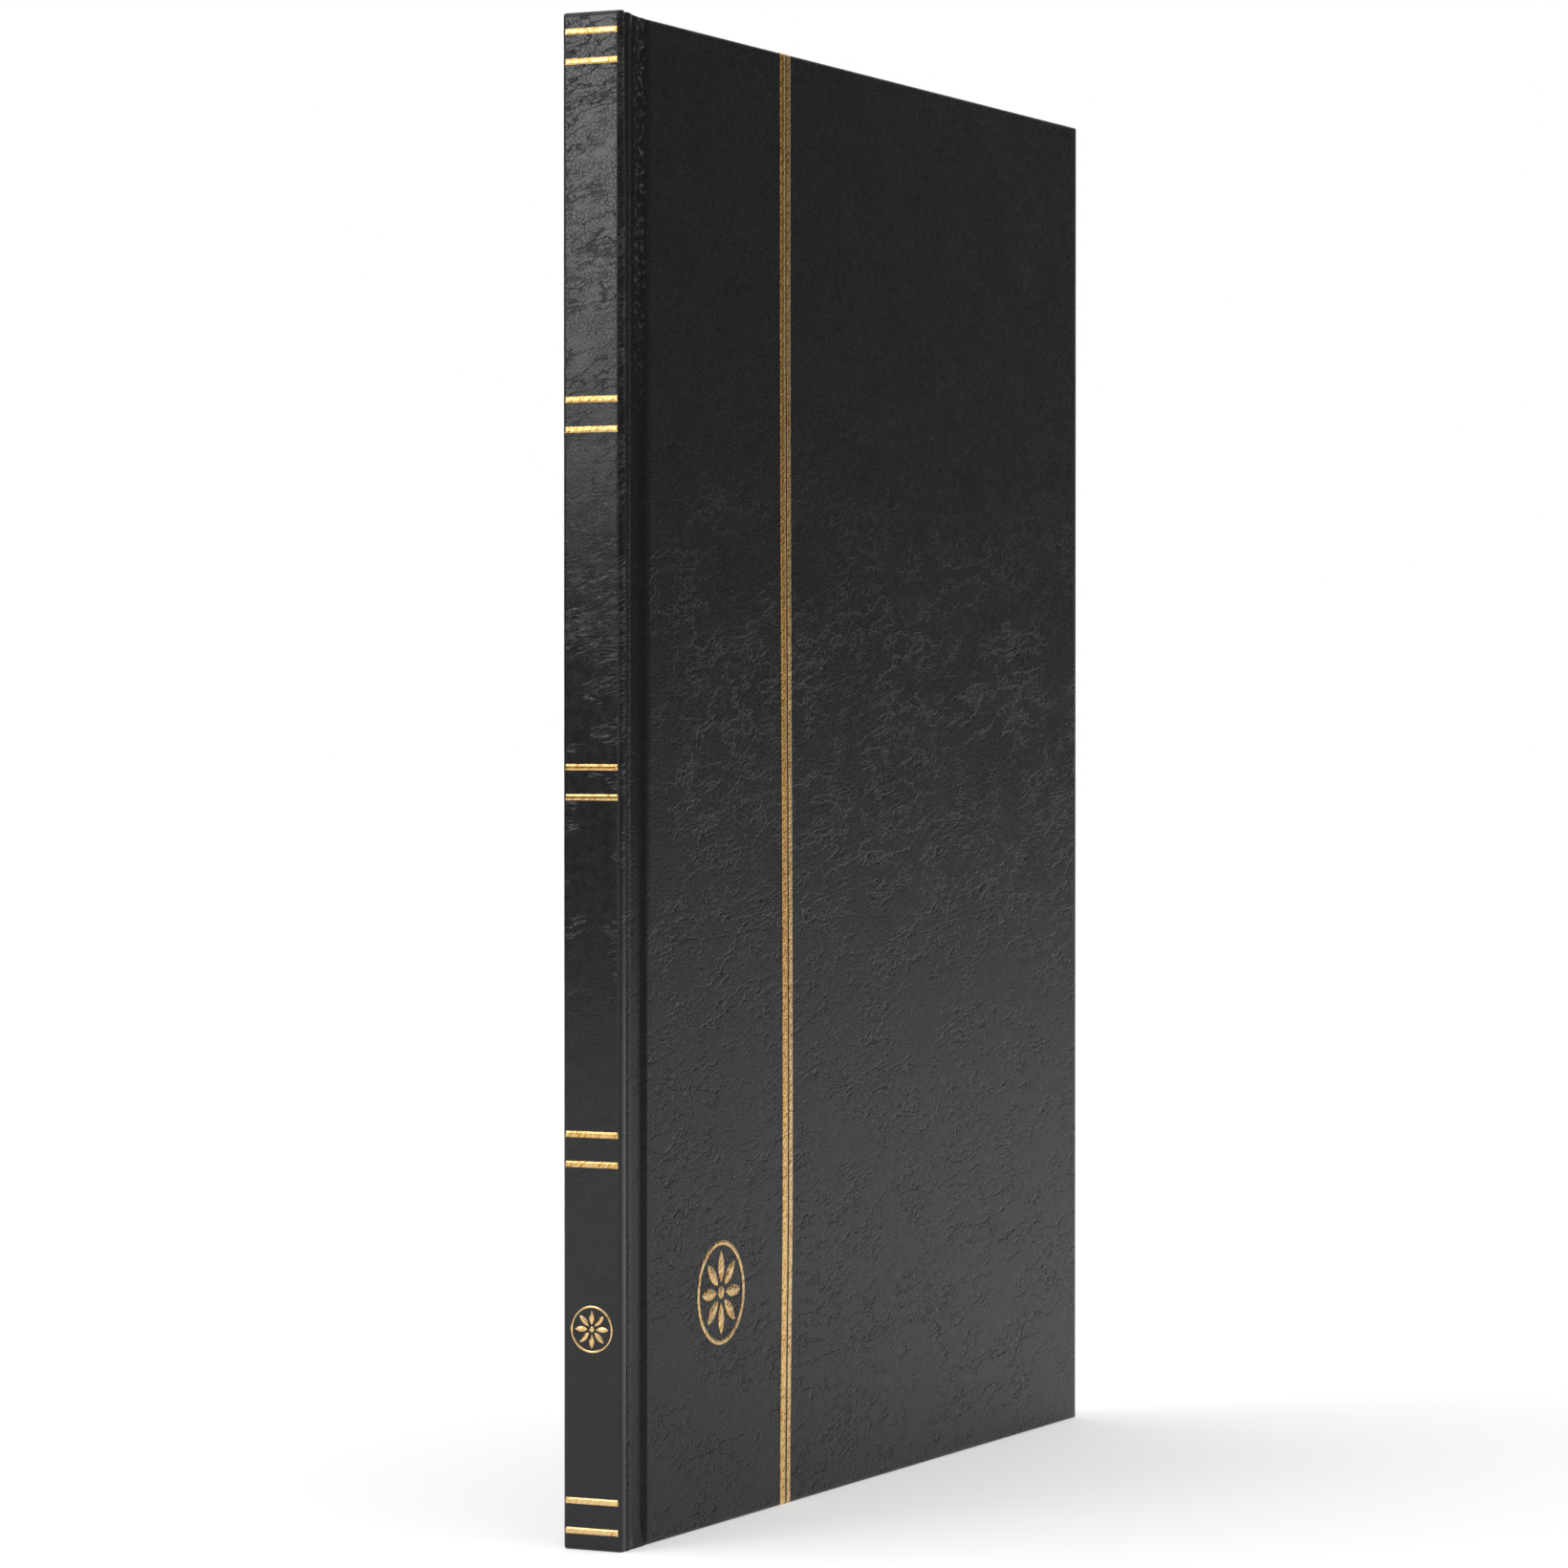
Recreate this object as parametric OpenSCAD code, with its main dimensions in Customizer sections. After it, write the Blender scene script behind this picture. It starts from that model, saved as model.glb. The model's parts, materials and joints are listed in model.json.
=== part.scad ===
// Hardcover stamp stockbook: a cased-in album that stands on its tail edge.
// X runs from the spine to the fore edge, Y from the front cover to the rear cover and Z from tail to head.
// The origin is the middle of the closed album's foot.

/* [Case] */
// Width of the closed album, from the spine's outer face to the fore edge
case_w = 230; // [180:1:260]
// Height of the case's spine, from tail to head
case_h = 305; // [240:1:330]
// Distance of the covers' heads below the head of the spine
head_step = 0.5; // [0.2:0.1:1]
// Thickness of the leatherette that covers the case
leather_t = 0.35; // [0.25:0.05:0.5]
// Thickness of each cover's board
board_t = 2.2; // [1.6:0.1:3]
// Thickness of the board behind the spine's face
spine_board_t = 2.2; // [1.4:0.1:3]
// Radius of the spine's two long outer corners
spine_corner_r = 0.8; // [0.6:0.1:1.2]
// Radius of the covers' fore-edge corners
fore_corner_r = 0.8; // [0.6:0.1:1.2]
// Width of the leatherette that is turned in over each board's edges
turn_in_w = 15; // [10:1:22]

/* [Joints] */
// Width of the pressed groove between the spine's shoulder and a cover's board
groove_w = 7.1; // [5:0.1:10]
// Depth of the pressed groove below the cover's face
groove_d = 0.9; // [0.6:0.1:1.6]
// Length of the slope from the shoulder down to the groove's floor
groove_slope_w = 1.2; // [0.8:0.1:2]
// Drop of the groove's leatherette where it leaves the shoulder
groove_lip_d = 0.25; // [0.2:0.05:0.4]
// Distance that the groove's leatherette stops short of the head and tail
groove_end_inset = 0.3; // [0.2:0.1:3]
// Distance that the shoulder stands past the sewn block
shoulder_lip = 0.2; // [0.1:0.05:0.5]
// Clearance between the shoulder and a cover's leatherette at the fold
fold_gap = 0.3; // [0.2:0.05:0.5]
// Thickness of the cloth and paper strip that lines a joint
joint_lining_t = 0.3; // [0.2:0.05:0.4]

/* [Foil] */
// Depth to which the gold foil is blocked into the leatherette
foil_t = 0.1; // [0.05:0.01:0.15]
// Height of one gold band on the spine
band_h = 1.25; // [0.8:0.05:2]
// Distance between the two bands of a pair, centre to centre
band_pitch = 5.95; // [4:0.05:9]
// Distance from the head or tail to the centre of the outermost pair
band_end = 6.8; // [5:0.05:12]
// Number of pairs of bands
band_pairs = 5; // [2:1:7]
// Distance that a band stops short of the spine's corners
band_side_inset = 0.5; // [0.4:0.05:1]
// Distance from the spine's face to the near edge of the front cover's double rule
rule_x = 71.3; // [60:0.1:90]
// Width of the rule nearer the spine
wide_rule_w = 2.5; // [1.5:0.1:4]
// Width of the rule nearer the fore edge
thin_rule_w = 1.7; // [1:0.1:3]
// Space between the two rules
rule_gap = 0.5; // [0.4:0.1:1.5]
// Diameter of the rosette on the front cover
cover_rosette_d = 21.4; // [14:0.1:28]
// Distance from the spine's face to the centre of the front cover's rosette
cover_rosette_x = 44.1; // [30:0.1:56]
// Height of the front cover's rosette above the tail
cover_rosette_z = 47.4; // [30:0.1:70]
// Diameter of the rosette on the spine
spine_rosette_d = 9.4; // [6:0.1:10.5]
// Height of the spine's rosette above the tail
spine_rosette_z = 44; // [30:0.1:60]
// Number of petals in a rosette
petal_count = 8; // [6:1:12]

/* [Endpapers] */
// Thickness of a pastedown
paste_t = 0.14; // [0.1:0.01:0.2]
// Border of turned-in leatherette that a pastedown leaves bare
paste_border = 3.5; // [2:0.1:6]
// Thickness of a flyleaf
flyleaf_t = 0.14; // [0.1:0.01:0.2]

/* [Leaves] */
// Thickness of a leaf's card
card_t = 0.4; // [0.3:0.05:0.8]
// Distance from the covers' head, tail and fore edge to the leaves' edges
square_w = 4; // [2:0.1:6]
// Clearance between neighbouring sheets
sheet_gap = 0.1; // [0.08:0.01:0.3]
// Width of the linen guard between a leaf's fold and its card
guard_w = 9; // [6:0.1:14]
// Thickness of the linen guard
guard_t = 0.14; // [0.1:0.01:0.16]
// Width of the guard's lap on each face of the card
guard_lap_w = 8; // [5:0.1:12]
// Thickness of a glassine interleaf
interleaf_t = 0.05; // [0.03:0.01:0.08]
// Distance that an interleaf stops short of the leaves' edges
interleaf_inset = 2; // [0:0.1:5]

/* [Pocket strips] */
// Number of pocket strips on each page
strip_count = 9; // [5:1:12]
// Thickness of a pocket strip, and of the guard's laps beside the strips
strip_t = 0.08; // [0.05:0.01:0.12]
// Space between one strip and the next
strip_gap = 2; // [1:0.1:6]
// Bare border of card at the head and tail of a page
page_border = 4.5; // [2:0.1:12]
// Bare border of card at the page's fore edge
strip_fore_border = 4; // [2:0.1:10]
// Bare border of card between the guard's lap and the strips
strip_guard_border = 2; // [1:0.1:8]

/* [Sewn block] */
// Width of the glued and sewn folds behind the leaves
block_w = 1.3; // [1:0.1:3]
// Thickness of the super that lines the sewn block
super_t = 0.3; // [0.2:0.05:0.5]
// Diameter of the sewing thread
thread_d = 0.5; // [0.3:0.05:0.7]
// Clearance round the thread in its channel
thread_clear = 0.05; // [0.02:0.01:0.1]
// Number of sewn sections, each of two leaves
section_count = 4; // [2:1:6]
// Number of long stitches in a section
stitch_count = 5; // [3:1:8]
// Length of one long stitch
stitch_len = 34; // [20:1:40]
// Height of a headband above the end of the block
headband_h = 1.2; // [0.8:0.1:2]
// Clearance between the sewn block and the fold of a leaf
hinge_gap = 0.15; // [0.15:0.05:0.5]
// Distance from the fold of a leaf to the start of its guard
fold_start = 0.15; // [0.15:0.05:0.3]

/* [Hidden] */
$fn = 48;
overcut = 1;
leaf_count = 8;
leaves = [1:leaf_count];
interleaves = [1:leaf_count - 1];

// Thickness of the stack of leaves, interleaves and flyleaves, with a clearance beside each
leaf_t = card_t + 2 * strip_t;
sheet_pitch = leaf_t + interleaf_t + 2 * sheet_gap;
stack_t = leaf_count * leaf_t + (leaf_count - 1) * interleaf_t + 2 * flyleaf_t + (2 * leaf_count + 2) * sheet_gap;
cover_t = board_t + 2 * leather_t;
case_t = stack_t + 2 * (cover_t + paste_t);
front_y = -case_t / 2;
cover_h = case_h - head_step;

// Distances from the spine's outer face, along X
spine_lining_x = leather_t + spine_board_t;
super_x = spine_lining_x + leather_t;
block_x = super_x + super_t;
block_end_x = block_x + block_w;
shoulder_w = block_end_x + shoulder_lip;
board_x = shoulder_w + groove_w;
hinge_x = block_end_x + hinge_gap;
sheet_x = hinge_x + fold_start;
card_x = sheet_x + guard_w;
strip_x = card_x + guard_lap_w + strip_guard_border;
leaf_end_x = case_w - square_w;

// Distances from the covers' outer face towards the leaves
board_y = front_y + leather_t;
turn_in_y = board_y + board_t;
paste_y = turn_in_y + leather_t;
groove_y = front_y + groove_d;
groove_lining_y = groove_y + leather_t;

// Heights of the leaves and of the pocket strips
leaf_foot = square_w;
leaf_head = cover_h - square_w;
strip_pitch = (leaf_head - leaf_foot - 2 * page_border + strip_gap) / strip_count;
strip_h = strip_pitch - strip_gap;

flyleaf_y = -stack_t / 2 + sheet_gap + flyleaf_t / 2;
function leaf_y(k) = (k - (leaf_count + 1) / 2) * sheet_pitch;
function interleaf_y(k) = (k - leaf_count / 2) * sheet_pitch;

leather_colour = [0.07, 0.07, 0.075];
gold_colour = [0.83, 0.66, 0.38];
board_colour = [0.55, 0.52, 0.47];
lining_colour = [0.62, 0.55, 0.45];
paper_colour = [0.16, 0.16, 0.17];
card_colour = [0.93, 0.92, 0.88];
strip_colour = [0.85, 0.89, 0.92, 0.5];
glassine_colour = [0.94, 0.94, 0.90, 0.6];
linen_colour = [0.9, 0.89, 0.84];

// ---- shared forms ----

// A box between two corners, with X counted from the spine's face
module block_between(low, high) {
    translate([low[0] - case_w / 2, low[1], low[2]]) cube(high - low);
}

// A plan outline, with X counted from the spine's face, raised between two heights
module upright(foot, head) {
    translate([-case_w / 2, 0, foot]) linear_extrude(head - foot) children();
}

// A plan rectangle whose two corners on the side away from the spine are round
module fore_rounded(x0, x1, y0, y1, r) {
    translate([x0, y0]) square([x1 - x0 - r, y1 - y0]);
    translate([x0, y0 + r]) square([x1 - x0, y1 - y0 - 2 * r]);
    for (y = [y0 + r, y1 - r]) translate([x1 - r, y]) circle(r);
}

// The spine's outline in plan, set in from the leatherette's outer face
module spine_outline(inset, end_x) {
    translate([end_x, 0]) mirror([1, 0])
        fore_rounded(0, end_x - inset, front_y + inset, -front_y - inset, spine_corner_r - inset);
}

// Shows a front piece at the rear instead
module at_rear() {
    mirror([0, 1, 0]) children();
}

// A ring with petals and a centre dot, one unit in diameter
module rosette_outline() {
    ring_r = 0.5;
    ring_w = 0.045;
    petal_far = 0.4;
    petal_near = 0.1;
    petal_r = 0.22;
    dot_r = 0.06;
    petal_half = (petal_far - petal_near) / 2;
    petal_shift = sqrt(petal_r * petal_r - petal_half * petal_half);
    difference() {
        circle(ring_r);
        circle(ring_r - ring_w);
    }
    circle(dot_r);
    for (i = [0:petal_count - 1]) rotate(i * 360 / petal_count) translate([0, petal_near + petal_half])
        intersection() {
            translate([-petal_shift, 0]) circle(petal_r);
            translate([petal_shift, 0]) circle(petal_r);
        }
}

// ---- spine ----

module spine_bands_shape() {
    pair_pitch = (case_h - 2 * band_end) / (band_pairs - 1);
    half_w = case_t / 2 - band_side_inset;
    for (i = [0:band_pairs - 1], side = [-1, 1]) {
        band_z = band_end + i * pair_pitch + side * band_pitch / 2;
        upright(band_z - band_h / 2, band_z + band_h / 2) intersection() {
            difference() {
                spine_outline(0, spine_corner_r + overcut);
                spine_outline(foil_t, spine_corner_r + 2 * overcut);
            }
            translate([0, -half_w]) square([spine_corner_r, 2 * half_w]);
        }
    }
}

module spine_rosette_shape() {
    translate([-case_w / 2, 0, spine_rosette_z]) rotate([90, 0, 90])
        linear_extrude(foil_t) scale(spine_rosette_d) rosette_outline();
}

module spine_leather() {
    inner_y = case_t / 2 - leather_t;
    color(leather_colour) difference() {
        union() {
            upright(0, case_h) difference() {
                spine_outline(0, shoulder_w);
                spine_outline(leather_t, shoulder_w + overcut);
            }
            for (z = [0, case_h - leather_t]) upright(z, z + leather_t) spine_outline(leather_t / 2, super_x);
            for (z = [0, case_h - turn_in_w])
                block_between([spine_lining_x, -inner_y, z], [super_x, inner_y, z + turn_in_w]);
        }
        spine_bands_shape();
        spine_rosette_shape();
    }
}

module spine_board() {
    color(board_colour) upright(leather_t, case_h - leather_t) spine_outline(leather_t, spine_lining_x);
}

module spine_lining() {
    inner_y = case_t / 2 - leather_t;
    color(lining_colour)
        block_between([spine_lining_x, -inner_y, turn_in_w], [super_x, inner_y, case_h - turn_in_w]);
}

module spine_super() {
    outer_y = case_t / 2 - leather_t;
    inner_y = outer_y - super_t;
    color(linen_colour) difference() {
        block_between([super_x, -outer_y, leaf_foot], [shoulder_w, outer_y, leaf_head]);
        block_between([block_x, -inner_y, leaf_foot - overcut],
                      [shoulder_w + overcut, inner_y, leaf_head + overcut]);
    }
}

// Gives each long stitch's place to a child drawn at the foot of the stitch
module at_stitches() {
    section_pitch = 2 * sheet_pitch;
    stitch_pitch = (leaf_head - leaf_foot) / stitch_count;
    for (i = [0:section_count - 1], j = [0:stitch_count - 1]) {
        y = (i - (section_count - 1) / 2) * section_pitch;
        z = leaf_foot + (j + 0.5) * stitch_pitch - stitch_len / 2;
        translate([block_x - case_w / 2 + thread_clear + thread_d / 2, y, z]) children();
    }
}

module sewn_block() {
    half_w = case_t / 2 - leather_t - super_t;
    channel_w = thread_d + 2 * thread_clear;
    color(linen_colour) difference() {
        block_between([block_x, -half_w, leaf_foot], [block_end_x, half_w, leaf_head]);
        at_stitches() translate([-channel_w / 2 - overcut, -channel_w / 2, -thread_clear])
            cube([channel_w + overcut, channel_w, stitch_len + 2 * thread_clear]);
    }
}

module sewing_thread() {
    color(card_colour) at_stitches() cylinder(h = stitch_len, d = thread_d);
}

// A headband: a flat foot on the end of the block with a round roll above it
module band_on(z, up) {
    half_w = case_t / 2 - leather_t - super_t;
    roll_r = block_w / 2;
    foot_h = headband_h - roll_r;
    translate([block_x - case_w / 2, half_w, z]) rotate([90, 0, 0]) linear_extrude(2 * half_w) {
        translate([0, up > 0 ? 0 : -foot_h]) square([block_w, foot_h]);
        translate([roll_r, up * foot_h]) circle(roll_r);
    }
}

module head_band() {
    color(card_colour) difference() {
        band_on(leaf_head, 1);
        block_between([0, front_y, leaf_head - block_w], [case_w, -front_y, leaf_head]);
    }
}

module tail_band() {
    color(card_colour) difference() {
        band_on(leaf_foot, -1);
        block_between([0, front_y, leaf_foot], [case_w, -front_y, leaf_foot + block_w]);
    }
}

module spine_foil_bands() {
    color(gold_colour) spine_bands_shape();
}

module spine_rosette() {
    color(gold_colour) spine_rosette_shape();
}

// ---- covers, drawn at the front ----

module rules_shape() {
    thin_x = rule_x + wide_rule_w + rule_gap;
    block_between([rule_x, front_y, 0], [rule_x + wide_rule_w, front_y + foil_t, cover_h]);
    block_between([thin_x, front_y, 0], [thin_x + thin_rule_w, front_y + foil_t, cover_h]);
}

module cover_rosette_shape() {
    translate([cover_rosette_x - case_w / 2, front_y + foil_t, cover_rosette_z]) rotate([90, 0, 0])
        linear_extrude(foil_t) scale(cover_rosette_d) rosette_outline();
}

module board_shape() {
    upright(leather_t, cover_h - leather_t)
        fore_rounded(board_x, case_w - leather_t, board_y, turn_in_y, fore_corner_r - leather_t);
}

module leather_shape() {
    difference() {
        upright(0, cover_h) fore_rounded(board_x - leather_t, case_w, front_y, paste_y, fore_corner_r);
        board_shape();
        // Open middle of the inner face, between the turn-ins
        block_between([board_x - leather_t - overcut, turn_in_y, turn_in_w],
                      [case_w - turn_in_w, paste_y + overcut, cover_h - turn_in_w]);
        // The covering goes no deeper than the groove's floor on the side of the spine
        block_between([board_x - leather_t - overcut, groove_lining_y, -overcut],
                      [board_x, paste_y + overcut, cover_h + overcut]);
    }
}

module infill_shape() {
    block_between([board_x, turn_in_y, turn_in_w], [case_w - turn_in_w, paste_y, cover_h - turn_in_w]);
}

module pastedown_shape() {
    block_between([board_x, paste_y, paste_border],
                  [case_w - paste_border, paste_y + paste_t, cover_h - paste_border]);
}

// The leatherette between the shoulder and a cover's board, pressed down into the groove
module joint_leather_shape() {
    near_x = shoulder_w + fold_gap;
    floor_x = near_x + groove_slope_w;
    far_x = board_x - leather_t;
    upright(groove_end_inset, cover_h - groove_end_inset) polygon([
        [near_x, front_y + groove_lip_d], [floor_x, groove_y], [far_x, groove_y],
        [far_x, groove_lining_y], [floor_x, groove_lining_y], [near_x, front_y + groove_lip_d + leather_t]
    ]);
}

module joint_lining_shape() {
    near_x = shoulder_w + fold_gap + groove_slope_w;
    block_between([near_x, groove_lining_y, leaf_foot], [board_x, groove_lining_y + joint_lining_t, leaf_head]);
}

module flyleaf_shape() {
    block_between([sheet_x, flyleaf_y - flyleaf_t / 2, leaf_foot],
                  [leaf_end_x, flyleaf_y + flyleaf_t / 2, leaf_head]);
}

module front_leather() {
    color(leather_colour) difference() {
        leather_shape();
        rules_shape();
        cover_rosette_shape();
    }
}

module front_board() {
    color(board_colour) board_shape();
}

module front_infill() {
    color(board_colour) infill_shape();
}

module front_pastedown() {
    color(paper_colour) pastedown_shape();
}

module front_joint_leather() {
    color(leather_colour) joint_leather_shape();
}

module front_joint_lining() {
    color(paper_colour) joint_lining_shape();
}

module front_foil_rules() {
    color(gold_colour) rules_shape();
}

module front_rosette() {
    color(gold_colour) cover_rosette_shape();
}

module front_flyleaf() {
    color(paper_colour) flyleaf_shape();
}

module rear_leather() {
    color(leather_colour) at_rear() leather_shape();
}

module rear_board() {
    color(board_colour) at_rear() board_shape();
}

module rear_infill() {
    color(board_colour) at_rear() infill_shape();
}

module rear_pastedown() {
    color(paper_colour) at_rear() pastedown_shape();
}

module rear_joint_leather() {
    color(leather_colour) at_rear() joint_leather_shape();
}

module rear_joint_lining() {
    color(paper_colour) at_rear() joint_lining_shape();
}

module rear_flyleaf() {
    color(paper_colour) at_rear() flyleaf_shape();
}

// ---- leaves, counted from the front ----

module leaf_card(k) {
    y = leaf_y(k);
    color(card_colour)
        block_between([card_x, y - card_t / 2, leaf_foot], [leaf_end_x, y + card_t / 2, leaf_head]);
}

// Linen strip from the fold to the card, lapped on both faces of the card
module leaf_guard(k) {
    y = leaf_y(k);
    color(linen_colour) difference() {
        union() {
            block_between([sheet_x, y - guard_t / 2, leaf_foot], [card_x, y + guard_t / 2, leaf_head]);
            block_between([card_x - strip_t, y - leaf_t / 2, leaf_foot],
                          [card_x + guard_lap_w, y + leaf_t / 2, leaf_head]);
        }
        block_between([card_x, y - card_t / 2, leaf_foot - overcut],
                      [card_x + guard_lap_w + overcut, y + card_t / 2, leaf_head + overcut]);
    }
}

// Pocket strips on both pages of a leaf
module leaf_strips(k) {
    color(strip_colour) for (side = [-1, 1], i = [0:strip_count - 1]) {
        inner_y = leaf_y(k) + side * card_t / 2;
        low_y = side > 0 ? inner_y : inner_y - strip_t;
        z = leaf_foot + page_border + i * strip_pitch;
        block_between([strip_x, low_y, z], [leaf_end_x - strip_fore_border, low_y + strip_t, z + strip_h]);
    }
}

module interleaf(k) {
    y = interleaf_y(k);
    color(glassine_colour)
        block_between([sheet_x, y - interleaf_t / 2, leaf_foot + interleaf_inset],
                      [leaf_end_x - interleaf_inset, y + interleaf_t / 2, leaf_head - interleaf_inset]);
}

spine_leather();
spine_board();
spine_lining();
spine_super();
sewn_block();
sewing_thread();
head_band();
tail_band();
spine_foil_bands();
spine_rosette();
front_leather();
front_board();
front_infill();
front_pastedown();
front_joint_leather();
front_joint_lining();
front_foil_rules();
front_rosette();
rear_leather();
rear_board();
rear_infill();
rear_pastedown();
rear_joint_leather();
rear_joint_lining();
front_flyleaf();
rear_flyleaf();
for (k = leaves) {
    leaf_card(k);
    leaf_guard(k);
    leaf_strips(k);
}
for (k = interleaves) {
    interleaf(k);
}
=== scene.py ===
import json
import math

import bpy
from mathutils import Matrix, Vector, noise


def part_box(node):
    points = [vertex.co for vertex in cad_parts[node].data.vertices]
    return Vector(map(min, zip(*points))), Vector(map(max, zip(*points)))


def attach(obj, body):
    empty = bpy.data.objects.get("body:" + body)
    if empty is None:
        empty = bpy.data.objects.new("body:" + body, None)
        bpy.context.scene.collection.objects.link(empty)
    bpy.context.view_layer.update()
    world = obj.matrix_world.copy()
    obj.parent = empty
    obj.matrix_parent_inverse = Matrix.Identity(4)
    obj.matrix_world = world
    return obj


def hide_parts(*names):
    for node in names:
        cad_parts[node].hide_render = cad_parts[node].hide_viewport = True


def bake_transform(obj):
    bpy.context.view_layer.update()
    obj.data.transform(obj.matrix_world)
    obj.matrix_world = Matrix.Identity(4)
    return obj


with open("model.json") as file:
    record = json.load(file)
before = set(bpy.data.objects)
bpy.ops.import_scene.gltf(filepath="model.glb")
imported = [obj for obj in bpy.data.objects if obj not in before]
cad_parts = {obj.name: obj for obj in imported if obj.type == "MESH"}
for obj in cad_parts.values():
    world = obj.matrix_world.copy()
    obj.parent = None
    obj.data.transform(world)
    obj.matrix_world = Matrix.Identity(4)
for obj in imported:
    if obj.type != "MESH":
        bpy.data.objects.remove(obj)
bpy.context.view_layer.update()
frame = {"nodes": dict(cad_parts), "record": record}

nodes = frame["nodes"]
mm = 0.001

# Sizes below are in millimetres: d counts from the spine's outer face towards the fore edge,
# y from the front cover to the rear cover, and z from the tail to the head.
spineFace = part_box("spine_leather")[0].x


def place(d, y, z):
    return Vector((spineFace + d * mm, y * mm, z * mm))


def edgesOf(node):
    low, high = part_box(node)
    return {
        "dLow": (low.x - spineFace) / mm, "dHigh": (high.x - spineFace) / mm,
        "yLow": low.y / mm, "yHigh": high.y / mm,
        "zLow": low.z / mm, "zHigh": high.z / mm,
    }


def middleOf(edges, axis):
    return (edges[axis + "Low"] + edges[axis + "High"]) / 2


def widthOf(edges, axis):
    return edges[axis + "High"] - edges[axis + "Low"]


coverEdges = edgesOf("front_leather")
spineHeight = edgesOf("spine_leather")["zHigh"]
coverHeight = coverEdges["zHigh"]
caseWidth = coverEdges["dHigh"]
outerFace = -coverEdges["yLow"]      # from the album's middle plane to a cover's face
pageFace = -coverEdges["yHigh"]      # from the middle plane to the leatherette's turn-ins
grooveFloor = -edgesOf("front_joint_leather")["yHigh"] + 0.35
spineCorner = 0.8
# length of skin from the middle of the spine, round its corner
skinStart = outerFace - 2 * spineCorner + math.pi / 2 * spineCorner
print("frame loaded:", len(nodes), "nodes")


def smooth(a, b, x):
    t = min(1.0, max(0.0, (x - a) / (b - a)))
    return t * t * (3 - 2 * t)


def softNoise(x, y, seed):
    return noise.noise(Vector((x, y, seed)))


def spread(start, end, step):
    count = max(1, math.ceil(abs(end - start) / step - 1e-6))
    return [start + (end - start) * i / count for i in range(count + 1)]


def meshObject(name, points, faces, uvs=None, material=None):
    mesh = bpy.data.meshes.new(name)
    mesh.from_pydata([tuple(p) for p in points], [], faces)
    if uvs is not None:
        layer = mesh.uv_layers.new(name="skin")
        for loop in mesh.loops:
            layer.data[loop.index].uv = uvs[loop.vertex_index]
    if material is not None:
        mesh.materials.append(material)
    mesh.polygons.foreach_set("use_smooth", [True] * len(mesh.polygons))
    mesh.update()
    obj = bpy.data.objects.new(name, mesh)
    bpy.context.scene.collection.objects.link(obj)
    return obj


def thicken(obj, thickness, offset=-1.0):
    skin = obj.modifiers.new("thickness", "SOLIDIFY")
    skin.thickness = thickness * mm
    skin.offset = offset
    return obj


def gridFaces(rows, columns, flip=False):
    faces = []
    for r in range(rows - 1):
        for c in range(columns - 1):
            a = r * columns + c
            quad = (a, a + 1, a + columns + 1, a + columns)
            faces.append(quad[::-1] if flip else quad)
    return faces


def bridge(before, after, flip):
    quads = [(before[i], after[i], after[i + 1], before[i + 1]) for i in range(len(before) - 1)]
    return [quad[::-1] for quad in quads] if flip else quads


def shifted(faces, start):
    return [tuple(start + v for v in face) for face in faces]


def bareMaterial(name):
    material = bpy.data.materials.new(name)
    material.use_nodes = True
    material.node_tree.nodes.clear()
    return material, material.node_tree


def newMaterial(name):
    material, tree = bareMaterial(name)
    output = tree.nodes.new("ShaderNodeOutputMaterial")
    shader = tree.nodes.new("ShaderNodeBsdfPrincipled")
    tree.links.new(shader.outputs["BSDF"], output.inputs["Surface"])
    return material, tree, shader


def addNode(tree, kind, settings=None, inputs=None):
    made = tree.nodes.new("ShaderNode" + kind)
    for key, value in (settings or {}).items():
        setattr(made, key, value)
    for key, value in (inputs or {}).items():
        if isinstance(value, bpy.types.NodeSocket):
            tree.links.new(value, made.inputs[key])
        else:
            made.inputs[key].default_value = value
    return made


def scaled(tree, vector, scale, turn=0.0):
    if turn:
        vector = addNode(tree, "Mapping", None, {"Vector": vector, "Rotation": (0, 0, turn)}).outputs[0]
    return addNode(tree, "Mapping", None, {"Vector": vector, "Scale": scale}).outputs[0]


def stretch(tree, vector, along, across, turn=0.0):
    return scaled(tree, vector, (1 / along, 1 / across, 1), turn)


def skinMap(tree):
    uv = addNode(tree, "UVMap", {"uv_map": "skin"})
    return scaled(tree, uv.outputs[0], (1000, 1000, 1000))


def partMap(tree):
    coordinates = addNode(tree, "TexCoord")
    return scaled(tree, coordinates.outputs["Object"], (1000, 1000, 1000))


def noiseOf(tree, vector, scale=1.0, detail=3.0, roughness=0.55, distortion=0.0):
    made = addNode(tree, "TexNoise", None, {
        "Vector": vector, "Scale": scale, "Detail": detail, "Roughness": roughness, "Distortion": distortion})
    return made.outputs[0]


def remap(tree, value, fromLow, fromHigh, toLow=0.0, toHigh=1.0):
    made = addNode(tree, "MapRange", {"interpolation_type": "SMOOTHSTEP"}, {
        "Value": value, "From Min": fromLow, "From Max": fromHigh, "To Min": toLow, "To Max": toHigh})
    return made.outputs[0]


def combine(tree, how, a, b=0.0):
    return addNode(tree, "Math", {"operation": how}, {0: a, 1: b}).outputs[0]


def times(tree, a, b):
    return combine(tree, "MULTIPLY", a, b)


def plus(tree, a, b):
    return combine(tree, "ADD", a, b)


def minus(tree, a, b):
    return combine(tree, "SUBTRACT", a, b)


def feed(tree, shader, sockets):
    for key, value in sockets.items():
        tree.links.new(value, shader.inputs[key])


def vectors(tree, how, a, b):
    return addNode(tree, "VectorMath", {"operation": how}, {0: a, 1: b}).outputs[0]


def vectorTimes(tree, vector, factor):
    return addNode(tree, "VectorMath", {"operation": "SCALE"}, {0: vector, "Scale": factor}).outputs[0]


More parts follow.
